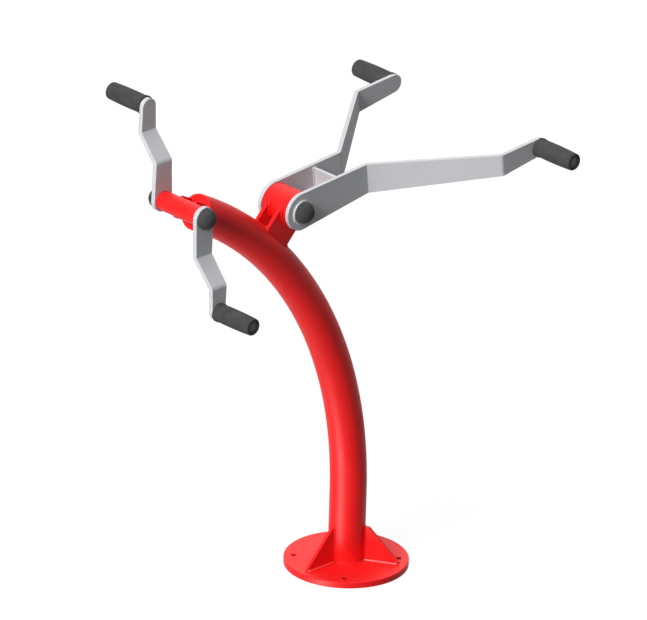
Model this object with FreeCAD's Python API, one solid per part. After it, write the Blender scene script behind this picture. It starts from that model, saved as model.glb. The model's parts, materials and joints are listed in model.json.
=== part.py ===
import FreeCAD, Part
import math
import os

# An outdoor arm exerciser: a bent tube post on a bolted flange carries a hand crank at its tip
# and a rocking double lever on its back.
# Millimetres. +Z is up, the origin is the middle of the flange's underside, the post leans
# towards -X, the lever points to +X, and both axles run along Y. The near side is -Y.

# Base flange
flange_diameter = 300.0
flange_thickness = 15.0
flange_edge_break = 1.5
anchor_edge_distance = 25.0
anchor_hole_diameter = 14.0
anchor_count = 4
anchor_first_angle = 45.0

# Gussets between the flange and the post
gusset_thickness = 8.0
gusset_edge_margin = 20.0
gusset_height = 86.0
gusset_top_land = 11.0
gusset_toe = 6.0
gusset_weld_leg = 4.5
gusset_angles = {"gusset_front": 180.0, "gusset_near": -60.0, "gusset_far": 60.0}

# Post: a straight foot, then one long bend
post_diameter = 88.9
post_wall = 4.0
post_foot_length = 180.0
post_bend_radius = 984.5
post_bend_angle = 62.4
end_plate_thickness = 5.0
end_plate_edge_radius = 3.5

# Fits
push_fit = 0.02
running_fit = 0.05
clamp_gap = 0.3

# Crank hub on the post's tip
crank_standoff = 47.4
crank_drop = 2.3
crank_hub_width = 131.0
crank_running_gap = 1.0
crank_housing_diameter = 48.3
crank_housing_bore = 36.0
crank_cheek_thickness = 6.0
crank_cheek_spacing = 46.0
crank_cheek_height = 55.0
crank_cheek_front = 9.0
crank_axle_diameter = 20.0
crank_axle_middle = 25.0
crank_axle_flats = 16.0
crank_bearing_outside = 42.0
crank_bearing_width = 12.0
crank_ball_diameter = 6.35
crank_shim_diameter = 27.0
crank_bolt_diameter = 12.0
crank_bolt_length = 45.0

# Crank arms: flat bars bent twice
crank_radius = 222.0
crank_arm_thickness = 12.0
crank_first_bend = 97.5
crank_second_bend = 160.0
crank_arm_offset = 55.0
crank_bend_inside_radius = 4.0
crank_arm_hub_width = 56.5
crank_arm_grip_width = 41.5
crank_cap_diameter = 50.5
crank_cap_height = 28.0

# Lever hub on the back of the post
lever_hub_angle = 46.8
lever_standoff = 118.1
lever_rest_tilt = 6.5
lever_hub_width = 82.5
lever_running_gap = 0.75
lever_housing_diameter = 88.9
lever_housing_bore = 64.0
lever_cheek_thickness = 10.0
lever_cheek_spacing = 43.0
lever_cheek_width = 86.0
lever_shaft_diameter = 35.0
lever_shaft_middle = 42.0
lever_shaft_flats = 28.0
lever_bearing_outside = 72.0
lever_bearing_width = 17.0
lever_ball_diameter = 11.1
lever_shim_diameter = 44.0
lever_brake_end_gap = 1.0
lever_bolt_diameter = 16.0
lever_bolt_length = 55.0

# Lever arms: flat bars that run beside each other, splay outwards, then run straight again
lever_radius = 590.5
lever_arm_thickness = 10.0
lever_first_bend = 217.5
lever_second_bend = 470.0
lever_arm_offset = 201.5
lever_bend_inside_radius = 3.0
lever_arm_hub_width = 93.0
lever_arm_grip_width = 44.5
lever_plate_position = 128.0
lever_plate_thickness = 8.0
lever_plate_height = 66.0
lever_ring_diameter = 61.0
lever_ring_thickness = 4.5
lever_ring_edge_break = 1.0
lever_cap_diameter = 52.0
lever_cap_height = 27.0

# Parts that both hubs share
bearing_inset = 1.0
bearing_ball_count = 8
bearing_ring_share = 0.3
bolt_flange_thickness = 3.0
bolt_flange_margin = 8.0
bolt_head_height = 7.0
bolt_head_margin = 3.0
cap_wall = 2.5
cap_rim = 2.0

# Grips, the same on the crank and on the lever
grip_length = 118.5
grip_end_gap = 0.5
grip_lip_diameter = 47.6
grip_lip_length = 11.0
grip_lip_shoulder = 5.0
grip_inner_diameter = 44.5
grip_belly_diameter = 45.8
grip_belly_place = 0.4
grip_outer_diameter = 42.5
grip_rim_radius = 4.5
grip_pin_diameter = 20.0
grip_pin_spigot = 16.0
grip_pin_length = 100.0
grip_pin_hole_floor = 3.0
grip_bush_wall = 3.0
grip_bush_length = 25.0
grip_bush_end_gap = 0.3
grip_screw_diameter = 8.0
grip_screw_length = 24.0
grip_screw_flange_thickness = 2.5
grip_screw_head_height = 4.0
grip_screw_head_width = 13.0
grip_chamber_gap = 0.8
grip_cap_diameter = 32.0
grip_cap_thickness = 5.0
grip_cap_crown = 3.0
grip_cap_recess = 1.0

V = FreeCAD.Vector
CENTRE = V(0, 0, 0)
ALONG_X = V(1, 0, 0)
ALONG_Y = V(0, 1, 0)
ALONG_Z = V(0, 0, 1)


def save(node, shape):
    shape.exportStep("parts/%s.step" % node)


def rod(diameter, start, end, place=CENTRE):
    """A cylinder along Y between two distances from the middle plane."""
    return Part.makeCylinder(diameter / 2, end - start, place + ALONG_Y * start, ALONG_Y)


def ring(outside, inside, start, end):
    return rod(outside, start, end).cut(rod(inside, start, end))


def box(low, high):
    size = high - low
    return Part.makeBox(size.x, size.y, size.z, low)


def flat_sided_rod(diameter, flats, start, end):
    """A shaft end with two flats, which a matching hole keeps from turning."""
    flat_slab = box(V(-flats / 2, start, -diameter), V(flats / 2, end, diameter))
    return rod(diameter, start, end).common(flat_slab)


def polygon(points):
    return Part.Face(Part.makePolygon(points + points[:1]))


def hexagon(across_flats, start, end):
    """A hexagon bar along Y between two distances from the middle plane."""
    reach = across_flats / math.sqrt(3)
    corners = []
    for index in range(6):
        angle = math.radians(60 * index)
        corners.append(V(reach * math.cos(angle), start, reach * math.sin(angle)))
    return polygon(corners).extrude(ALONG_Y * (end - start))


def turned(points, axis):
    """A solid of revolution about the given axis, from an outline of points and arc mid-points."""
    edges = []
    here = points[0]
    for step in points[1:] + points[:1]:
        if isinstance(step, tuple):
            middle, end = step
            edges.append(Part.Arc(here, middle, end).toShape())
        else:
            end = step
            edges.append(Part.LineSegment(here, end).toShape())
        here = end
    face = Part.Face(Part.Wire(edges))
    return face.revolve(CENTRE, axis, 360)


def half_turned(shape):
    """The opposite side's copy: half a turn about X swaps near with far."""
    copy = shape.copy()
    copy.rotate(CENTRE, ALONG_X, 180)
    return copy


def at_hub(shape, hub, turn=0.0):
    """Moves a shape from the hub's own frame to its place on the machine."""
    copy = shape.copy()
    copy.rotate(CENTRE, ALONG_Y, turn)
    copy.translate(hub)
    return copy


def post_point(angle):
    turn = math.radians(angle)
    rise = flange_thickness + post_foot_length + post_bend_radius * math.sin(turn)
    return V(-post_bend_radius * (1 - math.cos(turn)), 0, rise)


def post_direction(angle):
    turn = math.radians(angle)
    return V(-math.sin(turn), 0, math.cos(turn))


def post_outward(angle):
    turn = math.radians(angle)
    return V(math.cos(turn), 0, math.sin(turn))


def post_solid(radius):
    """The post filled to a radius: a straight foot and a bend, along the same centre line."""
    foot = V(0, 0, flange_thickness)
    straight = Part.makeCylinder(radius, post_foot_length, foot)
    section = Part.Face(Part.Wire(Part.makeCircle(radius, post_point(0), ALONG_Z)))
    bend_centre = post_point(0) - ALONG_X * post_bend_radius
    bend = section.revolve(bend_centre, -ALONG_Y, post_bend_angle)
    return straight.fuse(bend).removeSplitter()


# Places of the two hubs
crank_hub = post_point(post_bend_angle) - post_outward(post_bend_angle) * crank_drop
crank_hub += post_direction(post_bend_angle) * (end_plate_thickness + crank_standoff)
lever_hub = post_point(lever_hub_angle) + post_outward(lever_hub_angle) * lever_standoff


def build_flange():
    radius = flange_diameter / 2
    disc = turned([
        V(0, 0, 0),
        V(radius, 0, 0),
        V(radius, 0, flange_thickness - flange_edge_break),
        V(radius - flange_edge_break, 0, flange_thickness),
        V(0, 0, flange_thickness),
    ], ALONG_Z)
    for index in range(anchor_count):
        angle = math.radians(anchor_first_angle + 360.0 * index / anchor_count)
        place = V(math.cos(angle), math.sin(angle), 0) * (radius - anchor_edge_distance)
        disc = disc.cut(Part.makeCylinder(anchor_hole_diameter / 2, flange_thickness, place))
    save("base_flange", disc)


def build_gussets():
    """Three plates cut to the post's round, each with a weld along both sides of its foot."""
    surface = post_diameter / 2
    reach = flange_diameter / 2 - gusset_edge_margin
    foot = flange_thickness
    half = gusset_thickness / 2
    outline = polygon([
        V(0, -half, foot),
        V(reach, -half, foot),
        V(reach, -half, foot + gusset_toe),
        V(surface + gusset_top_land, -half, foot + gusset_height),
        V(0, -half, foot + gusset_height),
    ])
    weld_outline = polygon([
        V(0, -half - gusset_weld_leg, foot),
        V(0, half + gusset_weld_leg, foot),
        V(0, half, foot + gusset_weld_leg),
        V(0, -half, foot + gusset_weld_leg),
    ])
    welds = weld_outline.extrude(ALONG_X * reach)
    plate = outline.extrude(ALONG_Y * gusset_thickness).fuse(welds).cut(post_solid(surface))
    plate = plate.removeSplitter()
    for node, angle in gusset_angles.items():
        copy = plate.copy()
        copy.rotate(CENTRE, ALONG_Z, angle)
        save(node, copy)


def build_post():
    outside = post_solid(post_diameter / 2)
    inside = post_solid(post_diameter / 2 - post_wall)
    save("post_tube", outside.cut(inside))

    radius = post_diameter / 2
    soft = end_plate_edge_radius
    corner = V(radius - soft, 0, end_plate_thickness - soft)
    soft_middle = corner + V(soft * math.sqrt(0.5), 0, soft * math.sqrt(0.5))
    plate = turned([
        V(0, 0, 0),
        V(radius, 0, 0),
        V(radius, 0, end_plate_thickness - soft),
        (soft_middle, V(radius - soft, 0, end_plate_thickness)),
        V(0, 0, end_plate_thickness),
    ], ALONG_Z)
    plate.rotate(CENTRE, ALONG_Y, -post_bend_angle)
    plate.translate(post_point(post_bend_angle))
    save("post_end_plate", plate)


def build_cheeks():
    """Pairs of plates that carry the hubs, coped to the housings and to the post."""
    half = crank_cheek_spacing / 2
    cope = rod(crank_housing_diameter, -crank_hub_width, crank_hub_width)
    plate = box(
        V(crank_cheek_front, half - crank_cheek_thickness / 2, -crank_cheek_height / 2),
        V(crank_standoff, half + crank_cheek_thickness / 2, crank_cheek_height / 2))
    plate = plate.cut(cope)
    towards_post = 90.0 - post_bend_angle
    save("crank_cheek_far", at_hub(plate, crank_hub, towards_post))
    save("crank_cheek_near", at_hub(half_turned(plate), crank_hub, towards_post))

    half = lever_cheek_spacing / 2
    cope = rod(lever_housing_diameter, -lever_hub_width, lever_hub_width)
    plate = box(
        V(0, half - lever_cheek_thickness / 2, -lever_cheek_width / 2),
        V(lever_standoff, half + lever_cheek_thickness / 2, lever_cheek_width / 2))
    plate = plate.cut(cope)
    towards_post = 180.0 - lever_hub_angle
    post = post_solid(post_diameter / 2)
    save("lever_cheek_far", at_hub(plate, lever_hub, towards_post).cut(post))
    save("lever_cheek_near", at_hub(half_turned(plate), lever_hub, towards_post).cut(post))


def bearing_rings(bore, outside, ball, start, end):
    """A ball bearing's two rings with their grooves, and its balls."""
    pitch = (bore + outside) / 4
    ring_depth = (outside - bore) / 2 * bearing_ring_share
    middle = (start + end) / 2
    groove = Part.makeTorus(pitch, ball / 2 + running_fit, ALONG_Y * middle, ALONG_Y)
    outer = ring(outside, outside - 2 * ring_depth, start, end).cut(groove)
    inner = ring(bore + 2 * ring_depth, bore + 2 * push_fit, start, end).cut(groove)
    balls = []
    for index in range(bearing_ball_count):
        angle = 2 * math.pi * index / bearing_ball_count
        place = V(math.cos(angle) * pitch, middle, math.sin(angle) * pitch)
        balls.append(Part.makeSphere(ball / 2, place))
    return outer, inner, balls


def flange_bolt(diameter, length, flange, flange_thick, head, head_height, seat):
    """A bolt along Y with a flanged hexagon head on its seat and its shank pointing inwards."""
    shank = rod(diameter, seat - length, seat)
    collar = rod(flange, seat, seat + flange_thick)
    top = hexagon(head, seat + flange_thick, seat + flange_thick + head_height)
    return shank.fuse([collar, top]).removeSplitter()


def hub_bolt(diameter, length, seat):
    flange = diameter + 2 * bolt_flange_margin
    head = diameter + 2 * bolt_head_margin
    return flange_bolt(diameter, length, flange, bolt_flange_thickness, head, bolt_head_height, seat)


def dome_cap(diameter, height, seat):
    """A thin domed cover with a short rim, open towards its seat."""
    radius = diameter / 2
    rise = height - cap_rim
    sphere = (radius ** 2 + rise ** 2) / (2 * rise)
    centre = height - sphere

    def on_sphere(size, away):
        return V(away, seat + centre + math.sqrt(size ** 2 - away ** 2), 0)

    inside = radius - cap_wall
    hollow = sphere - cap_wall
    return turned([
        V(inside, seat, 0),
        V(radius, seat, 0),
        V(radius, seat + cap_rim, 0),
        (on_sphere(sphere, radius / 2), V(0, seat + height, 0)),
        V(0, seat + height - cap_wall, 0),
        (on_sphere(hollow, inside / 2), on_sphere(hollow, inside)),
    ], ALONG_Y)


def bar_outline(length, hub_width, grip_width):
    """A tapered bar's outline along X: a round about each end's centre, straight tangents between."""
    hub = hub_width / 2
    grip = grip_width / 2
    lean = math.asin((hub - grip) / length)
    root_top = V(hub * math.sin(lean), 0, hub * math.cos(lean))
    tip_top = V(length + grip * math.sin(lean), 0, grip * math.cos(lean))
    root_bottom = V(root_top.x, 0, -root_top.z)
    tip_bottom = V(tip_top.x, 0, -tip_top.z)
    edges = [
        Part.LineSegment(root_top, tip_top),
        Part.Arc(tip_top, V(length + grip, 0, 0), tip_bottom),
        Part.LineSegment(tip_bottom, root_bottom),
        Part.Arc(root_bottom, V(-hub, 0, 0), root_top),
    ]
    return Part.Face(Part.Wire([edge.toShape() for edge in edges]))


def bent_strip(start, first_bend, second_bend, end, offset, thickness, bend_radius, width):
    """A wide strip along X bent outwards and back again; its inner face starts at Y = 0."""
    slope = math.atan2(offset, second_bend - first_bend)
    setback = bend_radius * math.tan(slope / 2)
    run = ALONG_X
    climb = V(math.cos(slope), math.sin(slope), 0)
    middle = thickness / 2
    corner_one = V(first_bend, middle, 0)
    corner_two = V(second_bend, middle + offset, 0)
    arc_rise = bend_radius * (1 - math.cos(slope / 2))
    arc_run = bend_radius * math.sin(slope / 2)
    arc_one = corner_one - run * setback
    arc_two = corner_two + run * setback
    edges = [
        Part.LineSegment(V(start, middle, 0), arc_one),
        Part.Arc(arc_one, arc_one + V(arc_run, arc_rise, 0), corner_one + climb * setback),
        Part.LineSegment(corner_one + climb * setback, corner_two - climb * setback),
        Part.Arc(corner_two - climb * setback, arc_two - V(arc_run, arc_rise, 0), arc_two),
        Part.LineSegment(arc_two, V(end, middle + offset, 0)),
    ]
    path = Part.Wire([edge.toShape() for edge in edges])
    section = Part.makePolygon([
        V(start, 0, -width / 2),
        V(start, thickness, -width / 2),
        V(start, thickness, width / 2),
        V(start, 0, width / 2),
        V(start, 0, -width / 2),
    ])
    return path.makePipeShell([section], True, False)


def bent_arm(length, hub_width, grip_width, first_bend, second_bend, offset, thickness, bend_inside):
    """A flat bar bent twice, cut to its tapered outline, with its inner face at Y = 0."""
    strip = bent_strip(-hub_width / 2, first_bend, second_bend, length + grip_width / 2, offset,
                       thickness, bend_inside + thickness / 2, max(hub_width, grip_width))
    outline = bar_outline(length, hub_width, grip_width)
    return strip.common(outline.extrude(ALONG_Y * (offset + thickness)))


def grip_pieces(hole_floor, outer_face):
    """A grip's pieces along Y, from its blind hole in the arm: pin, screw, sleeve, bushes, cap."""
    pin_end = outer_face + grip_pin_length
    spigot = rod(grip_pin_spigot, hole_floor + clamp_gap, outer_face)
    stem = rod(grip_pin_diameter, outer_face, pin_end)
    screw_hole = rod(grip_screw_diameter + 2 * push_fit, pin_end - grip_screw_length, pin_end)
    pin = spigot.fuse(stem).removeSplitter().cut(screw_hole)

    bush_outside = grip_pin_diameter + 2 * (running_fit + grip_bush_wall)
    screw_flange = bush_outside - 2 * running_fit - grip_bush_wall / 2
    screw = flange_bolt(grip_screw_diameter, grip_screw_length - clamp_gap, screw_flange,
                        grip_screw_flange_thickness, grip_screw_head_width,
                        grip_screw_head_height, pin_end)

    start = outer_face + grip_end_gap
    outer_bush_end = pin_end - grip_bush_end_gap
    bushes = [
        ring(bush_outside, grip_pin_diameter + 2 * running_fit, start, start + grip_bush_length),
        ring(bush_outside, grip_pin_diameter + 2 * running_fit,
             outer_bush_end - grip_bush_length, outer_bush_end),
    ]

    end = outer_face + grip_length
    cap_top = end - grip_cap_recess
    cap_seat = cap_top - grip_cap_thickness
    bore = bush_outside / 2 + push_fit
    chamber = screw_flange / 2 + grip_chamber_gap
    cap_radius = grip_cap_diameter / 2
    recess = cap_radius + push_fit
    outside = grip_outer_diameter / 2
    lip = grip_lip_diameter / 2
    inner = grip_inner_diameter / 2
    drop = lip - inner
    round_radius = (grip_lip_shoulder ** 2 + drop ** 2) / (2 * drop)
    half_turn = math.asin(grip_lip_shoulder / round_radius) / 2
    lip_end = start + grip_lip_length
    shoulder = lip_end - grip_lip_shoulder
    shoulder_middle = V(lip - round_radius * (1 - math.cos(half_turn)),
                        shoulder + round_radius * math.sin(half_turn), 0)
    belly = V(grip_belly_diameter / 2, start + grip_belly_place * grip_length, 0)
    soft = grip_rim_radius
    soft_middle = soft * (1 - math.sqrt(0.5))
    sleeve = turned([
        V(bore, start, 0),
        V(lip, start, 0),
        V(lip, shoulder, 0),
        (shoulder_middle, V(inner, lip_end, 0)),
        (belly, V(outside, end - soft, 0)),
        (V(outside - soft_middle, end - soft_middle, 0), V(outside - soft, end, 0)),
        V(recess, end, 0),
        V(recess, cap_seat, 0),
        V(chamber, cap_seat, 0),
        V(chamber, outer_bush_end, 0),
        V(bore, outer_bush_end, 0),
    ], ALONG_Y)
    crown_sphere = (cap_radius ** 2 + grip_cap_crown ** 2) / (2 * grip_cap_crown)
    crown_middle = math.sqrt(crown_sphere ** 2 - (cap_radius / 2) ** 2) - crown_sphere
    cap = turned([
        V(0, cap_seat, 0),
        V(cap_radius, cap_seat, 0),
        V(cap_radius, cap_top - grip_cap_crown, 0),
        (V(cap_radius / 2, cap_top + crown_middle, 0), V(0, cap_top, 0)),
    ], ALONG_Y)
    return pin, screw, sleeve, bushes, cap


def save_grip_pair(prefix, hole_floor, outer_face, along, placed):
    """Grips on both sides of a hub; along is the grip axis' place on the far side's arm."""
    pin, screw, sleeve, bushes, cap = grip_pieces(hole_floor, outer_face)
    screws = []
    for side, turned_round in (("far", False), ("near", True)):

        def there(shape):
            moved = shape.copy()
            moved.translate(along)
            return placed(half_turned(moved) if turned_round else moved)

        save(prefix + "_grip_pin_" + side, there(pin))
        save(prefix + "_grip_" + side, there(sleeve))
        save(prefix + "_grip_bushes_" + side, there(Part.makeCompound(bushes)))
        save(prefix + "_grip_cap_" + side, there(cap))
        screws.append(there(screw))
    save(prefix + "_grip_screws", Part.makeCompound(screws))


def save_pair(node, shape, placed):
    save(node + "_far", placed(shape))
    save(node + "_near", placed(half_turned(shape)))


def save_both(node, shapes, placed):
    """Both sides' copies of small identical pieces, in one node."""
    copies = [placed(shape) for shape in shapes]
    copies += [placed(half_turned(shape)) for shape in shapes]
    save(node, Part.makeCompound(copies))


def build_crank():
    arm_face = crank_hub_width / 2
    housing_end = arm_face - crank_running_gap
    bearing_end = housing_end - bearing_inset
    bearing_start = bearing_end - crank_bearing_width
    arm_outer = arm_face + crank_arm_thickness

    def placed(shape):
        return at_hub(shape, crank_hub)

    seat = crank_bearing_outside + 2 * push_fit
    housing = ring(crank_housing_diameter, crank_housing_bore, -housing_end, housing_end)
    housing = housing.cut(rod(seat, bearing_start, housing_end))
    housing = housing.cut(rod(seat, -housing_end, -bearing_start))
    save("crank_housing", placed(housing))

    outer, inner, balls = bearing_rings(crank_axle_diameter, crank_bearing_outside,
                                        crank_ball_diameter, bearing_start, bearing_end)
    save_pair("crank_bearing_outer", outer, placed)
    save_pair("crank_bearing_inner", inner, placed)
    save_both("crank_bearing_balls", balls, placed)

    shim = ring(crank_shim_diameter, crank_axle_diameter + 2 * push_fit, bearing_end, arm_face)
    save_both("crank_shims", [shim], placed)

    bolt = hub_bolt(crank_bolt_diameter, crank_bolt_length, arm_outer)
    save_both("crank_axle_bolts", [bolt], placed)
    bolt_hole = rod(crank_bolt_diameter + 2 * push_fit, arm_outer - crank_bolt_length - clamp_gap,
                    arm_outer)
    journal = rod(crank_axle_diameter, bearing_start, arm_face)
    square = flat_sided_rod(crank_axle_diameter, crank_axle_flats, arm_face, arm_outer - clamp_gap)
    half_axle = rod(crank_axle_middle, 0, bearing_start).fuse([journal, square]).cut(bolt_hole)
    axle = half_axle.fuse(half_turned(half_axle)).removeSplitter()
    save("crank_axle", placed(axle))

    arm = bent_arm(crank_radius, crank_arm_hub_width, crank_arm_grip_width, crank_first_bend,
                   crank_second_bend, crank_arm_offset, crank_arm_thickness, crank_bend_inside_radius)
    arm.rotate(CENTRE, ALONG_Y, -90)
    arm.translate(ALONG_Y * arm_face)
    arm = arm.cut(flat_sided_rod(crank_axle_diameter + 2 * push_fit, crank_axle_flats + 2 * push_fit,
                                 arm_face, arm_outer))
    grip_axis = ALONG_Z * crank_radius
    hole_floor = arm_face + crank_arm_offset + grip_pin_hole_floor
    grip_outer = arm_outer + crank_arm_offset
    arm = arm.cut(rod(grip_pin_spigot + 2 * push_fit, hole_floor, grip_outer, grip_axis))
    save_pair("crank_arm", arm, placed)
    save_pair("crank_cap", dome_cap(crank_cap_diameter, crank_cap_height, arm_outer), placed)
    save_grip_pair("crank", hole_floor, grip_outer, grip_axis, placed)


def build_lever():
    arm_face = lever_hub_width / 2
    housing_end = arm_face - lever_running_gap
    bearing_end = housing_end - bearing_inset
    bearing_start = bearing_end - lever_bearing_width
    arm_outer = arm_face + lever_arm_thickness
    ring_outer = arm_outer + lever_ring_thickness

    def placed(shape):
        return at_hub(shape, lever_hub, -lever_rest_tilt)

    seat = lever_bearing_outside + 2 * push_fit
    housing = ring(lever_housing_diameter, lever_housing_bore, -housing_end, housing_end)
    housing = housing.cut(rod(seat, bearing_start, housing_end))
    housing = housing.cut(rod(seat, -housing_end, -bearing_start))
    save("lever_housing", placed(housing))

    outer, inner, balls = bearing_rings(lever_shaft_diameter, lever_bearing_outside,
                                        lever_ball_diameter, bearing_start, bearing_end)
    save_pair("lever_bearing_outer", outer, placed)
    save_pair("lever_bearing_inner", inner, placed)
    save_both("lever_bearing_balls", balls, placed)

    brake_end = bearing_start - lever_brake_end_gap
    brake = ring(lever_housing_bore - 2 * push_fit, lever_shaft_middle + 2 * running_fit,
                 -brake_end, brake_end)
    save("lever_brake_bush", placed(brake))

    shim = ring(lever_shim_diameter, lever_shaft_diameter + 2 * push_fit, bearing_end, arm_face)
    save_both("lever_shims", [shim], placed)

    bolt = hub_bolt(lever_bolt_diameter, lever_bolt_length, ring_outer)
    save_both("lever_shaft_bolts", [bolt], placed)
    bolt_hole = rod(lever_bolt_diameter + 2 * push_fit, ring_outer - lever_bolt_length - clamp_gap,
                    ring_outer)
    journal = rod(lever_shaft_diameter, bearing_start, arm_face)
    square = flat_sided_rod(lever_shaft_diameter, lever_shaft_flats, arm_face, arm_outer - clamp_gap)
    half_shaft = rod(lever_shaft_middle, 0, bearing_start).fuse([journal, square]).cut(bolt_hole)
    shaft = half_shaft.fuse(half_turned(half_shaft)).removeSplitter()
    save("lever_shaft", placed(shaft))

    arm = bent_arm(lever_radius, lever_arm_hub_width, lever_arm_grip_width, lever_first_bend,
                   lever_second_bend, lever_arm_offset, lever_arm_thickness, lever_bend_inside_radius)
    arm.translate(ALONG_Y * arm_face)
    arm = arm.cut(flat_sided_rod(lever_shaft_diameter + 2 * push_fit, lever_shaft_flats + 2 * push_fit,
                                 arm_face, arm_outer))
    grip_axis = ALONG_X * lever_radius
    hole_floor = arm_face + lever_arm_offset + grip_pin_hole_floor
    grip_outer = arm_outer + lever_arm_offset
    arm = arm.cut(rod(grip_pin_spigot + 2 * push_fit, hole_floor, grip_outer, grip_axis))
    save_pair("lever_arm", arm, placed)

    plate = box(
        V(lever_plate_position, -arm_face, -lever_plate_height / 2),
        V(lever_plate_position + lever_plate_thickness, arm_face, lever_plate_height / 2))
    save("lever_cross_plate", placed(plate))

    ring_radius = lever_ring_diameter / 2
    hole = lever_bolt_diameter / 2 + push_fit
    hub_ring = turned([
        V(hole, arm_outer, 0),
        V(ring_radius, arm_outer, 0),
        V(ring_radius, ring_outer - lever_ring_edge_break, 0),
        V(ring_radius - lever_ring_edge_break, ring_outer, 0),
        V(hole, ring_outer, 0),
    ], ALONG_Y)
    save_pair("lever_hub_ring", hub_ring, placed)
    save_pair("lever_cap", dome_cap(lever_cap_diameter, lever_cap_height, ring_outer), placed)
    save_grip_pair("lever", hole_floor, grip_outer, grip_axis, placed)


os.makedirs("parts", exist_ok=True)
build_flange()
build_gussets()
build_post()
build_cheeks()
build_crank()
build_lever()
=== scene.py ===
import json
import math

import bpy
from mathutils import Matrix, Vector


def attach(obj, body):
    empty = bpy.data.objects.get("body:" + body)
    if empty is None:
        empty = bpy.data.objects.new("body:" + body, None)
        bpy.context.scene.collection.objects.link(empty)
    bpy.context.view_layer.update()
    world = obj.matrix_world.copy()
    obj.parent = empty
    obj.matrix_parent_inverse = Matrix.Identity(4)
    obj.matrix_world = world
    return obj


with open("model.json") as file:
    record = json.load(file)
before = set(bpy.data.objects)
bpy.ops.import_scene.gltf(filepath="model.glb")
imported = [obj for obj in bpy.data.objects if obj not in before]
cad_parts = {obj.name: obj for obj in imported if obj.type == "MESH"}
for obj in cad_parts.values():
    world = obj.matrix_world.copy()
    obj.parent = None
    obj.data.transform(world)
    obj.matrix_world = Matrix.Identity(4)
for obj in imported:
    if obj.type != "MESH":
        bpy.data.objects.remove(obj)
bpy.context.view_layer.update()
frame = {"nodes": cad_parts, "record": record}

# Metres, in the same frame as the solids: the post's foot stands on the origin and leans to -X.
post_radius = 0.04445
post_foot = 0.015
post_straight = 0.180
post_bend_radius = 0.9845
post_bend_angle = math.radians(62.4)
end_plate = 0.005

crank_standoff = 0.0474
crank_drop = 0.0023
crank_tube_radius = 0.02415
crank_cheek_middle = 0.023
crank_cheek_half = 0.003
crank_cheek_half_height = 0.0275
crank_cheek_front = 0.009

lever_hub_angle = math.radians(46.8)
lever_standoff = 0.1181
lever_tilt = math.radians(6.5)
lever_tube_radius = 0.04445
lever_cheek_middle = 0.0215
lever_cheek_half = 0.005
lever_cheek_half_width = 0.043
lever_plate_middle = 0.132
lever_plate_half = 0.004
lever_plate_half_height = 0.033
lever_arm_face = 0.04125

gusset_half = 0.004
gusset_top = 0.101
gusset_end = 0.130
gusset_angles = (math.radians(180), math.radians(-60), math.radians(60))


def post_point(angle, outward=0.0, along=0.0):
    """A place beside the post: an angle along its bend, then outwards from the bend and along it."""
    reach = post_bend_radius + outward
    return Vector((
        reach * math.cos(angle) - post_bend_radius - along * math.sin(angle), 0,
        post_foot + post_straight + reach * math.sin(angle) + along * math.cos(angle)))


crank_axle = post_point(post_bend_angle, -crank_drop, end_plate + crank_standoff)
lever_axle = post_point(lever_hub_angle, lever_standoff)


def hub_point(axle, heading, along, across, side):
    """A place seen from a hub's axle: along a heading in the side view, across it, and out along Y."""
    run = Vector((math.cos(heading), 0, math.sin(heading)))
    rise = Vector((-math.sin(heading), 0, math.cos(heading)))
    return axle + run * along + rise * across + Vector((0, side, 0))


# Nodes

def start_group(name, inputs, outputs):
    """An empty shader group with named number inputs and named outputs."""
    group = bpy.data.node_groups.new(name, "ShaderNodeTree")
    for label, value in inputs:
        socket = group.interface.new_socket(label, in_out="INPUT", socket_type="NodeSocketFloat")
        socket.default_value = value
    for label, kind in outputs:
        group.interface.new_socket(label, in_out="OUTPUT", socket_type="NodeSocket" + kind)
    return group, group.nodes.new("NodeGroupInput"), group.nodes.new("NodeGroupOutput")


def feed(tree, node, socket, source):
    """Links a source to a socket, or sets the socket to a plain value."""
    if hasattr(source, "is_linked"):
        tree.links.new(source, node.inputs[socket])
    else:
        node.inputs[socket].default_value = source


def add(tree, kind, links=(), **values):
    """A node with its settings, its sockets' values and the links that feed it."""
    node = tree.nodes.new(kind)
    for key, value in values.items():
        setattr(node, key, value)
    for socket, source in links:
        feed(tree, node, socket, source)
    return node


def object_place(tree):
    return add(tree, "ShaderNodeTexCoord").outputs["Object"]


def noise(tree, place, scale, detail, roughness=0.5):
    links = [("Vector", place), ("Scale", scale), ("Detail", detail), ("Roughness", roughness)]
    return add(tree, "ShaderNodeTexNoise", links).outputs["Fac"]


def ramp(tree, source, low, high):
    """A smooth step of a value between two levels."""
    step = add(tree, "ShaderNodeMapRange", [("Value", source), ("From Min", low), ("From Max", high)],
               interpolation_type="SMOOTHSTEP")
    return step.outputs["Result"]


def between(tree, amount, low, high):
    """A number between two others."""
    node = add(tree, "ShaderNodeMapRange", [("Value", amount), ("To Min", low), ("To Max", high)])
    return node.outputs["Result"]


def times(tree, first, second):
    return add(tree, "ShaderNodeMath", [(0, first), (1, second)], operation="MULTIPLY").outputs[0]


def mix(tree, amount, first, second):
    """A colour between two others."""
    node = add(tree, "ShaderNodeMix", data_type="RGBA")
    for socket, source in ((0, amount), (6, first), (7, second)):
        feed(tree, node, socket, source)
    return node.outputs[2]


# Shared effects, with the levels between which each mask grows from none to full
tone_levels = (0.3, 0.7)
dust_slope_levels = (0.35, 0.95)
dust_patch_levels = (0.42, 0.72)
rub_turn_levels = (0.995, 0.80)
rub_break_levels = (0.45, 0.75)
rub_break_scale = 55.0
# Painted shade in hollows: where it starts and is full, the size of its patches and their lightest share
painted_shade_open_levels = (0.55, 0.15)
painted_shade_patch_scale = 60.0
painted_shade_thinnest = 0.6
pebble_tone_scale = 30.0


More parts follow.
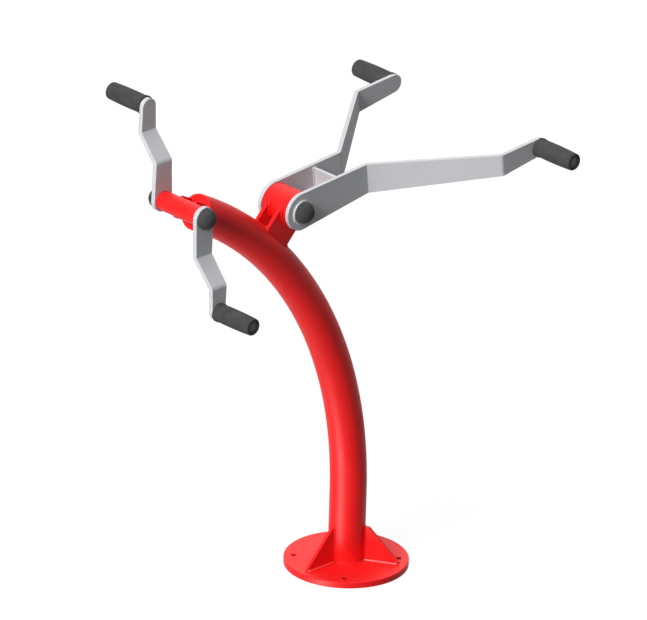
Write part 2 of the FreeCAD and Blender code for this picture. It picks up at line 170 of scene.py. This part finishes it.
def coat_grain_group():
    """The skin of a powder coat: slow tone changes and the fine orange peel."""
    group, given, out = start_group(
        "coat_grain", [("Tone Scale", 9.0), ("Peel Scale", 420.0)],
        [("Tone", "Float"), ("Height", "Float")])
    place = object_place(group)
    tone = noise(group, place, given.outputs["Tone Scale"], 4.0, 0.55)
    peel = noise(group, place, given.outputs["Peel Scale"], 2.0)
    group.links.new(ramp(group, tone, *tone_levels), out.inputs["Tone"])
    group.links.new(peel, out.inputs["Height"])
    return group


def settled_dust_group():
    """Dust that settles in patches on faces that look up."""
    group, given, out = start_group("settled_dust", [("Scale", 14.0)], [("Dust", "Float")])
    coordinates = add(group, "ShaderNodeTexCoord")
    up = add(group, "ShaderNodeSeparateXYZ", [("Vector", coordinates.outputs["Normal"])]).outputs["Z"]
    patches = noise(group, coordinates.outputs["Object"], given.outputs["Scale"], 6.0, 0.62)
    mask = times(group, ramp(group, up, *dust_slope_levels), ramp(group, patches, *dust_patch_levels))
    group.links.new(mask, out.inputs["Dust"])
    return group


def rubbed_edges_group():
    """Softened edges and the paler rub along them."""
    group, given, out = start_group("rubbed_edges", [("Width", 0.0012)],
                                    [("Rub", "Float"), ("Normal", "Vector")])
    soft = add(group, "ShaderNodeBevel", [("Radius", given.outputs["Width"])], samples=6)
    flat = add(group, "ShaderNodeNewGeometry")
    same = add(group, "ShaderNodeVectorMath", [(0, soft.outputs["Normal"]), (1, flat.outputs["Normal"])],
               operation="DOT_PRODUCT")
    breaks = noise(group, object_place(group), rub_break_scale, 5.0)
    edge = ramp(group, same.outputs["Value"], *rub_turn_levels)
    mask = times(group, edge, ramp(group, breaks, *rub_break_levels))
    group.links.new(mask, out.inputs["Rub"])
    group.links.new(soft.outputs["Normal"], out.inputs["Normal"])
    return group


def painted_hollow_shade_group():
    """Painted shade in holes, narrow gaps and inner corners: darker where the surface is closed in, broken
    into patches.
    """
    group, given, out = start_group("painted_hollow_shade", [("Reach", 0.03)], [("Painted Shade", "Float")])
    open_share = add(group, "ShaderNodeAmbientOcclusion", [("Distance", given.outputs["Reach"])], samples=8)
    patches = noise(group, object_place(group), painted_shade_patch_scale, 4.0)
    closed = ramp(group, open_share.outputs["AO"], *painted_shade_open_levels)
    mask = times(group, closed, between(group, patches, painted_shade_thinnest, 1.0))
    group.links.new(mask, out.inputs["Painted Shade"])
    return group


def pebble_group():
    """The fine pebbled skin of a moulded grip or cap."""
    group, given, out = start_group("pebble_skin", [("Scale", 700.0)],
                                    [("Height", "Float"), ("Tone", "Float")])
    place = object_place(group)
    cells = add(group, "ShaderNodeTexVoronoi", [("Vector", place), ("Scale", given.outputs["Scale"])],
                feature="SMOOTH_F1")
    tone = noise(group, place, pebble_tone_scale, 5.0)
    group.links.new(cells.outputs["Distance"], out.inputs["Height"])
    group.links.new(ramp(group, tone, *tone_levels), out.inputs["Tone"])
    return group


coat_grain = coat_grain_group()
settled_dust = settled_dust_group()
rubbed_edges = rubbed_edges_group()
painted_hollow_shade = painted_hollow_shade_group()
pebble_skin = pebble_group()


# Finishes
coat_rub_share = 0.35
# How far a coat looks for nearby walls that darken it with painted shade
coat_painted_shade_reach = 0.03
coat_dusty_roughness = 0.8
coat_unevenness = (-0.03, 0.04)
coat_peel_strength = 0.06
coat_peel_depth = 0.0004
mould_dust_scale = 40.0
mould_dust_share = 0.06
mould_dust_colour = (0.4, 0.38, 0.35, 1)
mould_edge_width = 0.0006
# Painted shade in a moulding's grooves: how far it reaches and its near-black colour
mould_painted_shade_reach = 0.006
mould_painted_shade_colour = (0.010, 0.010, 0.010, 1)
mould_unevenness = (-0.05, 0.06)
mould_pebble_strength = 0.35
steel_tone_scale = 40.0
steel_peel_scale = 900.0
steel_mark_stretch = (4.0, 1400.0, 4.0)
steel_mark_strength = 0.1
steel_mark_depth = 0.0002
steel_roughness = (0.22, 0.42)
steel_deep = (0.52, 0.52, 0.53, 1)
steel_light = (0.64, 0.64, 0.65, 1)


def start_finish(name, specular):
    finish = bpy.data.materials.new(name)
    finish.use_nodes = True
    skin = finish.node_tree.nodes["Principled BSDF"]
    skin.inputs["Specular IOR Level"].default_value = specular
    return finish, finish.node_tree, skin


def use(tree, group, **values):
    """A shared effect with its own values."""
    node = tree.nodes.new("ShaderNodeGroup")
    node.node_tree = group
    for label, value in values.items():
        node.inputs[label.replace("_", " ")].default_value = value
    return node


def roughen(tree, skin, height, strength, depth, normal=None):
    """Gives a finish its fine relief, on top of softened edges where it has them."""
    links = [("Height", height), ("Strength", strength), ("Distance", depth)]
    if normal is not None:
        links.append(("Normal", normal))
    bump = add(tree, "ShaderNodeBump", links)
    tree.links.new(bump.outputs["Normal"], skin.inputs["Normal"])


def painted(name, light, deep, rubbed, hollow_shade_colour, dust_colour, dust_share, rough, specular):
    """A powder coat on steel, with painted shade darkening its holes, gaps and inner corners."""
    finish, tree, skin = start_finish(name, specular)
    grain = use(tree, coat_grain)
    dust = use(tree, settled_dust)
    edges = use(tree, rubbed_edges)
    shade_mask = use(tree, painted_hollow_shade, Reach=coat_painted_shade_reach)
    dusty = times(tree, dust.outputs["Dust"], dust_share)
    colour = mix(tree, grain.outputs["Tone"], deep, light)
    colour = mix(tree, times(tree, edges.outputs["Rub"], coat_rub_share), colour, rubbed)
    colour = mix(tree, dusty, colour, dust_colour)
    # Painted shade: the colour turns darker in holes, narrow gaps and inner corners
    colour = mix(tree, shade_mask.outputs["Painted Shade"], colour, hollow_shade_colour)
    tree.links.new(colour, skin.inputs["Base Color"])
    dull = between(tree, dusty, rough, coat_dusty_roughness)
    uneven = between(tree, grain.outputs["Tone"], *coat_unevenness)
    total = add(tree, "ShaderNodeMath", [(0, dull), (1, uneven)], operation="ADD")
    tree.links.new(total.outputs[0], skin.inputs["Roughness"])
    roughen(tree, skin, grain.outputs["Height"], coat_peel_strength, coat_peel_depth,
            normal=edges.outputs["Normal"])
    return finish


def moulded(name, light, deep, rough, specular, pebble_scale, pebble_depth):
    """Rubber or plastic from a mould, with painted shade darkening its grooves and narrow gaps."""
    finish, tree, skin = start_finish(name, specular)
    pebble = use(tree, pebble_skin, Scale=pebble_scale)
    dust = use(tree, settled_dust, Scale=mould_dust_scale)
    edges = use(tree, rubbed_edges, Width=mould_edge_width)
    shade_mask = use(tree, painted_hollow_shade, Reach=mould_painted_shade_reach)
    colour = mix(tree, pebble.outputs["Tone"], deep, light)
    colour = mix(tree, times(tree, dust.outputs["Dust"], mould_dust_share), colour, mould_dust_colour)
    # Painted shade: the colour turns near black in grooves and narrow gaps
    colour = mix(tree, shade_mask.outputs["Painted Shade"], colour, mould_painted_shade_colour)
    tree.links.new(colour, skin.inputs["Base Color"])
    smoothest, roughest = (rough + change for change in mould_unevenness)
    tree.links.new(between(tree, pebble.outputs["Tone"], smoothest, roughest), skin.inputs["Roughness"])
    roughen(tree, skin, pebble.outputs["Height"], mould_pebble_strength, pebble_depth,
            normal=edges.outputs["Normal"])
    return finish


def ground_steel():
    """Turned and ground steel, with the marks running round the axles."""
    finish, tree, skin = start_finish("ground_steel", 0.5)
    skin.inputs["Metallic"].default_value = 1.0
    grain = use(tree, coat_grain, Tone_Scale=steel_tone_scale, Peel_Scale=steel_peel_scale)
    place = object_place(tree)
    stretched = add(tree, "ShaderNodeMapping", [("Vector", place), ("Scale", steel_mark_stretch)])
    marks = noise(tree, stretched.outputs["Vector"], 1.0, 3.0)
    colour = mix(tree, grain.outputs["Tone"], steel_deep, steel_light)
    tree.links.new(colour, skin.inputs["Base Color"])
    tree.links.new(between(tree, marks, *steel_roughness), skin.inputs["Roughness"])
    roughen(tree, skin, marks, steel_mark_strength, steel_mark_depth)
    return finish


# In each set the darkest colour is the painted shade laid into holes, gaps and inner corners
red_tones = {
    "light": (0.95, 0.012, 0.013, 1), "deep": (0.90, 0.009, 0.010, 1), "rubbed": (0.96, 0.05, 0.05, 1),
    "hollow_shade_colour": (0.14, 0.006, 0.006, 1), "dust_colour": (0.62, 0.33, 0.28, 1), "dust_share": 0.04,
}
grey_tones = {
    "light": (0.595, 0.598, 0.622, 1), "deep": (0.572, 0.575, 0.598, 1), "rubbed": (0.66, 0.66, 0.67, 1),
    "hollow_shade_colour": (0.22, 0.21, 0.20, 1), "dust_colour": (0.52, 0.50, 0.47, 1), "dust_share": 0.10,
}
foot_weld_coat = painted("red_weld_coat", **red_tones, rough=0.32, specular=0.85)
finishes = {
    "red_paint": painted("red_powder_coat", **red_tones, rough=0.48, specular=0.26),
    "grey_paint": painted("grey_powder_coat", **grey_tones, rough=0.68, specular=0.90),
    "grip_rubber": moulded("grip_rubber", (0.068, 0.068, 0.069, 1), (0.054, 0.054, 0.055, 1),
                           rough=0.70, specular=0.06, pebble_scale=900.0, pebble_depth=0.0004),
    "cap_plastic": moulded("cap_plastic", (0.060, 0.061, 0.062, 1), (0.052, 0.053, 0.054, 1),
                           rough=0.60, specular=0.06, pebble_scale=1500.0, pebble_depth=0.0001),
    "plug_plastic": moulded("plug_plastic", (0.160, 0.160, 0.164, 1), (0.140, 0.140, 0.144, 1),
                            rough=0.58, specular=0.2, pebble_scale=1500.0, pebble_depth=0.0001),
    "bush_plastic": moulded("bush_plastic", (0.72, 0.69, 0.60, 1), (0.66, 0.63, 0.55, 1),
                            rough=0.5, specular=0.4, pebble_scale=1500.0, pebble_depth=0.0001),
    "steel": ground_steel(),
}
for entry in frame["record"]["subparts"]:
    node = frame["nodes"][entry["node"]]
    node.data.materials.clear()
    node.data.materials.append(finishes[entry["material_slot"]])


# Weld beads: their radii, how far their middles stand out of the corner, and their ripples
post_bead = 0.0022
gusset_bead = 0.00198
foot_bead = 0.0043
lever_bead = 0.0034
crank_bead = 0.0020
plate_bead = 0.0022
lean = 0.0008
lever_lean = 0.0010
lever_foot_corner = 0.003
crank_foot_corner = 0.002
plate_foot_corner = 0.002
corner_steps = 4
foot_taper = 4
arc_taper = 12
ripple_step = 0.0014
ripple_turn = 2.1
ripple_height = 0.07
fewest_steps = 8
ring_share = 0.995
bead_rounding = 2
bead_smooth_angle = math.radians(60)


def weld_bead(name, points, radius, body, slot, closed=False, taper=0, finish=None):
    """A rippled bead laid along a run of points, sunk into the corner that it fills."""
    bpy.ops.object.select_all(action="DESELECT")
    bpy.ops.curve.primitive_nurbs_path_add(enter_editmode=False)
    bead = bpy.context.object
    bead.name = name
    run = bead.data
    run.splines.clear()
    run.dimensions = "3D"
    line = run.splines.new("POLY")
    line.points.add(len(points) - 1)
    for number, (place, knot) in enumerate(zip(points, line.points)):
        knot.co = (*place, 1)
        knot.radius = 1 + ripple_height * math.sin(number * ripple_turn)
        from_end = min(number, len(points) - 1 - number)
        if from_end < taper:
            knot.radius *= math.sqrt((from_end + 1) / (taper + 1))
    line.use_cyclic_u = closed
    run.bevel_depth = radius
    run.bevel_resolution = bead_rounding
    run.use_fill_caps = True
    bpy.ops.object.convert(target="MESH")
    bead = bpy.context.object
    bpy.ops.object.shade_smooth_by_angle(angle=bead_smooth_angle)
    bead.data.materials.clear()
    bead.data.materials.append(finish or finishes[slot])
    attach(bead, body)


def run_of(place, start, end, length):
    """Points along a path given by a function, about three to a ripple."""
    count = max(fewest_steps, int(length / ripple_step))
    return [place(start + (end - start) * index / count) for index in range(count + 1)]


def foot_loop(place, half_length, half_width, corner):
    """Points round a plate's foot, a rounded outline laid on the surface that a function gives."""
    outline = []
    for turn, (along, across) in enumerate(((1, 1), (-1, 1), (-1, -1), (1, -1))):
        for index in range(corner_steps + 1):
            angle = math.pi / 2 * (turn + index / corner_steps)
            outline.append((along * (half_length - corner) + corner * math.cos(angle),
                            across * (half_width - corner) + corner * math.sin(angle)))
    points = []
    for (x, y), (next_x, next_y) in zip(outline, outline[1:] + outline[:1]):
        count = max(1, round(math.dist((x, y), (next_x, next_y)) / ripple_step))
        for index in range(count):
            share = index / count
            points.append(place(x + (next_x - x) * share, y + (next_y - y) * share))
    return points


def post_foot_weld():
    reach = post_radius + lean

    def round_foot(angle):
        return Vector((reach * math.cos(angle), reach * math.sin(angle), post_foot + lean))

    ring = run_of(round_foot, 0, 2 * math.pi * ring_share, 2 * math.pi * post_radius)
    weld_bead("post_foot_weld", ring, post_bead, "stand", "red_paint", closed=True)


def gusset_welds(number, heading):
    """Both beads up a gusset's edge on the post, and both along its foot on the flange."""
    out = Vector((math.cos(heading), math.sin(heading), 0))
    aside = Vector((-math.sin(heading), math.cos(heading), 0))
    up = Vector((0, 0, 1))
    post_reach = math.sqrt(post_radius ** 2 - gusset_half ** 2) + lean
    for side, label in ((-1, "left"), (1, "right")):
        beside = aside * side * (gusset_half + lean)

        def up_post(height):
            return out * post_reach + beside + up * height

        def along_foot(reach):
            return beside + up * (post_foot + lean) + out * reach

        weld_bead("gusset_weld_%d_%s" % (number, label),
                  run_of(up_post, post_foot, gusset_top, gusset_top - post_foot),
                  gusset_bead, "stand", "red_paint")
        weld_bead("gusset_foot_weld_%d_%s" % (number, label),
                  run_of(along_foot, post_radius - post_bead, gusset_end + lean, gusset_end - post_radius),
                  foot_bead, "stand", "red_paint", taper=foot_taper, finish=foot_weld_coat)


def lever_cheek_welds(side, label):
    """An arc on each face of a cheek, under the housing, and a loop round its foot on the post."""
    wrap = math.asin(lever_cheek_half_width / lever_tube_radius)
    towards_post = lever_hub_angle + math.pi
    for face, outwards in (("outer", 1), ("inner", -1)):
        level = side * (lever_cheek_middle + outwards * (lever_cheek_half + lever_lean))

        def on_housing(angle):
            return hub_point(lever_axle, angle, lever_tube_radius + lever_lean, 0, level)

        arc = run_of(on_housing, towards_post - wrap, towards_post + wrap, 2 * wrap * lever_tube_radius)
        weld_bead("lever_cheek_%s_%s_weld" % (label, face), arc, lever_bead, "stand", "red_paint",
                  taper=arc_taper)

    def on_post(along, across):
        side_reach = side * lever_cheek_middle + across
        outward = math.sqrt((post_radius + lever_lean) ** 2 - side_reach ** 2)
        place = post_point(lever_hub_angle + along / (post_bend_radius + outward), outward)
        return place + Vector((0, side_reach, 0))

    loop = foot_loop(on_post, lever_cheek_half_width + lever_lean, lever_cheek_half + lever_lean,
                     lever_foot_corner)
    weld_bead("lever_cheek_%s_post_weld" % label, loop, lever_bead, "stand", "red_paint", closed=True)


def crank_cheek_welds(side, label):
    """A loop round each end of a cheek, on the housing and on the post's end plate."""
    middle = side * crank_cheek_middle
    half_width = crank_cheek_half + lean
    towards_post = post_bend_angle - math.pi / 2

    def on_housing(along, across):
        heading = towards_post + along / crank_tube_radius
        return hub_point(crank_axle, heading, crank_tube_radius + lean, 0, middle + across)

    def on_end_plate(along, across):
        return hub_point(crank_axle, towards_post, crank_standoff - lean, along, middle + across)

    half_wrap = crank_tube_radius * math.acos(crank_cheek_front / crank_tube_radius)
    loop = foot_loop(on_housing, half_wrap, half_width, crank_foot_corner)
    weld_bead("crank_cheek_%s_housing_weld" % label, loop, crank_bead, "stand", "red_paint", closed=True)
    loop = foot_loop(on_end_plate, crank_cheek_half_height + lean, half_width, crank_foot_corner)
    weld_bead("crank_cheek_%s_end_weld" % label, loop, crank_bead, "stand", "red_paint", closed=True)


def cross_plate_weld(side, label):
    """A loop round the cross plate's end, on the inner face of a lever arm."""
    level = side * (lever_arm_face - lean)

    def on_lever_arm(along, across):
        return hub_point(lever_axle, lever_tilt, lever_plate_middle + across, along, level)

    loop = foot_loop(on_lever_arm, lever_plate_half_height + lean, lever_plate_half + lean,
                     plate_foot_corner)
    weld_bead("cross_plate_%s_weld" % label, loop, plate_bead, "lever", "grey_paint", closed=True)


post_foot_weld()
for number, heading in enumerate(gusset_angles):
    gusset_welds(number, heading)
for side, label in ((-1, "near"), (1, "far")):
    lever_cheek_welds(side, label)
    crank_cheek_welds(side, label)
    cross_plate_weld(side, label)


# The floor and the light
floor_size = 60
floor_tone = 0.10
floor_glow = 0.91
world_light = 0.022
white = (1, 1, 1, 1)


def seen_directly(tree):
    """One for rays from the camera, a gloss or a glass, and none for light on other pieces."""
    path = add(tree, "ShaderNodeLightPath")
    seen = path.outputs["Is Camera Ray"]
    for ray in ("Is Glossy Ray", "Is Transmission Ray"):
        either = add(tree, "ShaderNodeMath", [(0, seen), (1, path.outputs[ray])], operation="MAXIMUM")
        seen = either.outputs[0]
    return seen


def studio_floor():
    """A pale floor that shows the machine's shadow and lets the lamps below it through."""
    bpy.ops.object.select_all(action="DESELECT")
    bpy.ops.mesh.primitive_plane_add(size=floor_size)
    floor = bpy.context.object
    floor.name = "studio_floor"
    pale = bpy.data.materials.new("pale_floor")
    pale.use_nodes = True
    tree = pale.node_tree
    tree.nodes.clear()
    matt = add(tree, "ShaderNodeBsdfDiffuse", [("Color", (floor_tone, floor_tone, floor_tone, 1))])
    strength = times(tree, seen_directly(tree), floor_glow)
    glow = add(tree, "ShaderNodeEmission", [("Color", white), ("Strength", strength)])
    both = add(tree, "ShaderNodeAddShader", [(0, matt.outputs[0]), (1, glow.outputs[0])])
    add(tree, "ShaderNodeOutputMaterial", [("Surface", both.outputs[0])])
    floor.data.materials.append(pale)
    floor.visible_shadow = False


def white_studio():
    """A white background that adds little light of its own."""
    world = bpy.data.worlds.new("white_studio")
    bpy.context.scene.world = world
    world.use_nodes = True
    tree = world.node_tree
    tree.nodes.clear()
    strength = between(tree, seen_directly(tree), world_light, 1.0)
    sky = add(tree, "ShaderNodeBackground", [("Color", white), ("Strength", strength)])
    add(tree, "ShaderNodeOutputWorld", [("Surface", sky.outputs[0])])


def soft_lamp(name, place, energy, spread, tint=(1, 1, 1), gloss_only=False):
    """A wide soft lamp, shining from a place towards the middle of the machine."""
    bpy.ops.object.light_add(type="SUN", location=place)
    lamp = bpy.context.object
    lamp.name = name
    lamp.data.energy = energy
    lamp.data.angle = math.radians(spread)
    lamp.data.color = tint
    lamp.visible_diffuse = not gloss_only
    lamp.rotation_mode = "QUATERNION"
    lamp.rotation_quaternion = (-Vector(place)).to_track_quat("-Z", "Y")


studio_floor()
white_studio()
soft_lamp("key_lamp", (-4.2, -0.68, 2.6), energy=2.9, spread=28)
soft_lamp("low_lamp", (-4.15, 0.2, -2.75), energy=1.0, spread=14)
soft_lamp("top_lamp", (0, 0, 5), energy=1.15, spread=40)
soft_lamp("right_lamp", (2.25, 2.25, 3.85), energy=0.6, spread=40)
soft_lamp("back_lamp", (2.0, 4.5, 0.6), energy=0.6, spread=40)
soft_lamp("front_lamp", (-2.2, -3.0, 3.4), energy=0.12, spread=40, tint=(0.80, 0.90, 1))
soft_lamp("sheen_lamp", (-4.5, 0.0, -2.0), energy=1.9, spread=18, gloss_only=True)


# The camera, far off with a long lens, because the photograph has no perspective
azimuth = math.radians(-44.605)
elevation = math.radians(24.043)
roll = math.radians(1.614)
frame_width = 1.53566
aim_right, aim_up, aim_back = -0.05381, 0.60275, 0.42
lens = 1500
sensor = 36
nearest, farthest = 1, 200


def photo_camera():
    level = Vector((math.cos(azimuth), math.sin(azimuth), 0))
    upright = Vector((-math.sin(azimuth) * math.sin(elevation), math.cos(azimuth) * math.sin(elevation),
                      math.cos(elevation)))
    back = level.cross(upright)
    right = level * math.cos(roll) + upright * math.sin(roll)
    up = upright * math.cos(roll) - level * math.sin(roll)
    aim = right * aim_right + up * aim_up + back * aim_back
    bpy.ops.object.camera_add(location=aim + back * (frame_width * lens / sensor))
    camera = bpy.context.object
    camera.name = "photo_camera"
    camera.data.lens = lens
    camera.data.sensor_width = sensor
    camera.data.clip_start = nearest
    camera.data.clip_end = farthest
    camera.rotation_mode = "QUATERNION"
    camera.rotation_quaternion = Matrix((right, up, back)).transposed().to_quaternion()
    bpy.context.scene.camera = camera


photo_camera()
bpy.context.scene.view_settings.view_transform = "Standard"
